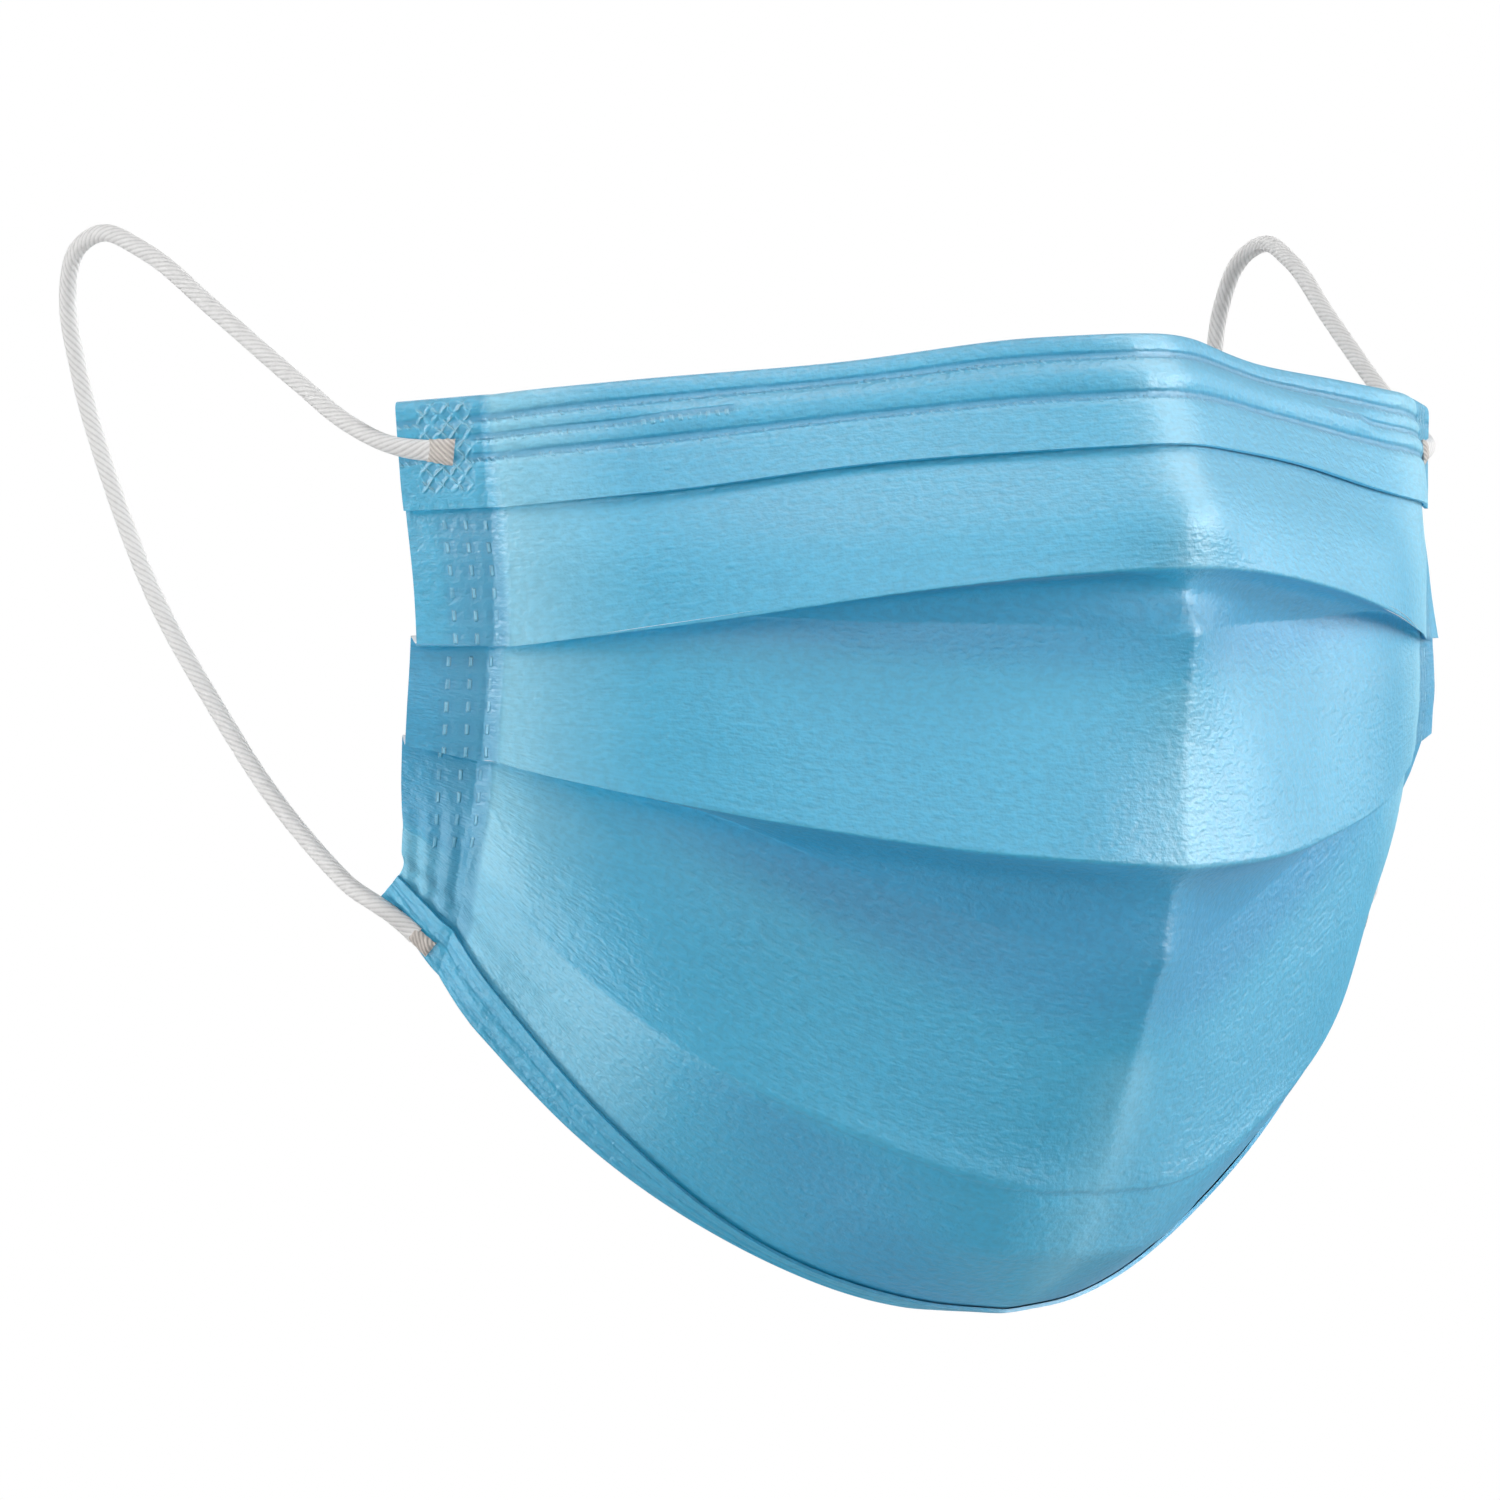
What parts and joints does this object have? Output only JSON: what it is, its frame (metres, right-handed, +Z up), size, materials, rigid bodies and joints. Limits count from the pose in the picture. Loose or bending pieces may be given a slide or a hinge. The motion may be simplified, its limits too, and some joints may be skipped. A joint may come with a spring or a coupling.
{
  "type": "pleated face mask",
  "caption": "Pleated nonwoven face mask in its worn form, with a bound top edge over a nose wire, a bound bottom edge and round elastic ear loops.",
  "frame": {"origin": "inside of the bound top edge on the plane of symmetry, where it rests on the bridge of the nose", "axes": "+X towards the mask's right side as seen from the front, +Y from the front of the mask towards the wearer's face and ears, +Z up"},
  "size_m": [0.1806, 0.1243, 0.137],
  "materials": {
    "nonwoven": "light blue spunbond nonwoven with a fine embossed grain and a slight sheen",
    "nose_wire": "white plastic coated wire strip, inside the band",
    "elastic": "pale grey knitted round elastic",
    "pressed_elastic": "pressed flat and welded end of the elastic"
  },
  "bodies": {
    "root": {"mask_panel": "nonwoven", "top_band": "nonwoven", "bottom_band": "nonwoven", "nose_wire": "nose_wire", "ear_loop_left": "elastic", "ear_loop_right": "elastic", "loop_weld_left_top": "pressed_elastic", "loop_weld_left_bottom": "pressed_elastic", "loop_weld_right_top": "pressed_elastic", "loop_weld_right_bottom": "pressed_elastic"}
  },
  "joints": []
}
